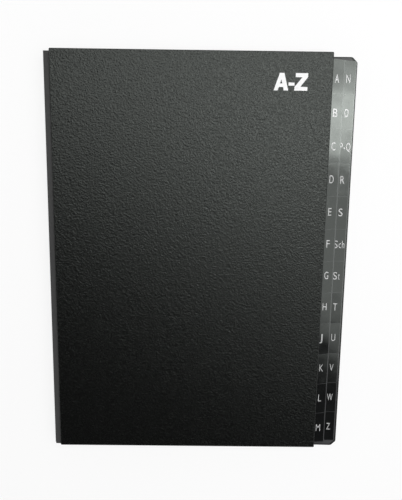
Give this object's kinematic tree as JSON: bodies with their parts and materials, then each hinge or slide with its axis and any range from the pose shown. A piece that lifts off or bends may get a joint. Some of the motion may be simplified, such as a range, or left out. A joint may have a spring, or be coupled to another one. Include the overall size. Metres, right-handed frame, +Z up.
{
  "type": "desk sorter",
  "caption": "Closed desk sorter with two hard covers, a pleated cloth spine and index dividers whose stepped tabs stand out of the fore-edge in two columns.",
  "frame": {"origin": "centre of the bounding box in plan, on the surface that the back cover lies on", "axes": "+X from the spine towards the tabs, +Y along the spine towards the covers' top edge, +Z up out of the front cover"},
  "size_m": [0.2518, 0.3434, 0.0197],
  "materials": {
    "cover_board": "black embossed covering on board, satin",
    "spine_cloth": "black linen cloth, matte",
    "hinge_cloth": "black linen cloth, matte",
    "divider_card": "black card with glossy film on the tabs"
  },
  "bodies": {
    "back_cover": {"back_cover": "cover_board", "back_hinge_strip": "hinge_cloth"},
    "divider_block": {"spine_gusset": "spine_cloth", "divider_A": "divider_card", "divider_B": "divider_card", "divider_C": "divider_card", "divider_D": "divider_card", "divider_E": "divider_card", "divider_F": "divider_card", "divider_G": "divider_card", "divider_H": "divider_card", "divider_I_J": "divider_card", "divider_K": "divider_card", "divider_L": "divider_card", "divider_M": "divider_card", "divider_N": "divider_card", "divider_O": "divider_card", "divider_P_Q": "divider_card", "divider_R": "divider_card", "divider_S": "divider_card", "divider_Sch": "divider_card", "divider_St": "divider_card", "divider_T": "divider_card", "divider_U": "divider_card", "divider_V": "divider_card", "divider_W": "divider_card", "divider_Z": "divider_card"},
    "front_cover": {"front_cover": "cover_board", "front_hinge_strip": "hinge_cloth"}
  },
  "joints": [
    {"name": "back_cover_hinge", "type": "hinge", "parent": "divider_block", "child": "back_cover", "pos_m": [-0.12444, -0.00165, 0.00245], "axis": [0, 1, 0], "range_deg": [0, 180]},
    {"name": "front_cover_hinge", "type": "hinge", "parent": "divider_block", "child": "front_cover", "pos_m": [-0.12445, 0.00165, 0.01744], "axis": [0, -1, 0], "range_deg": [0, 180]}
  ]
}
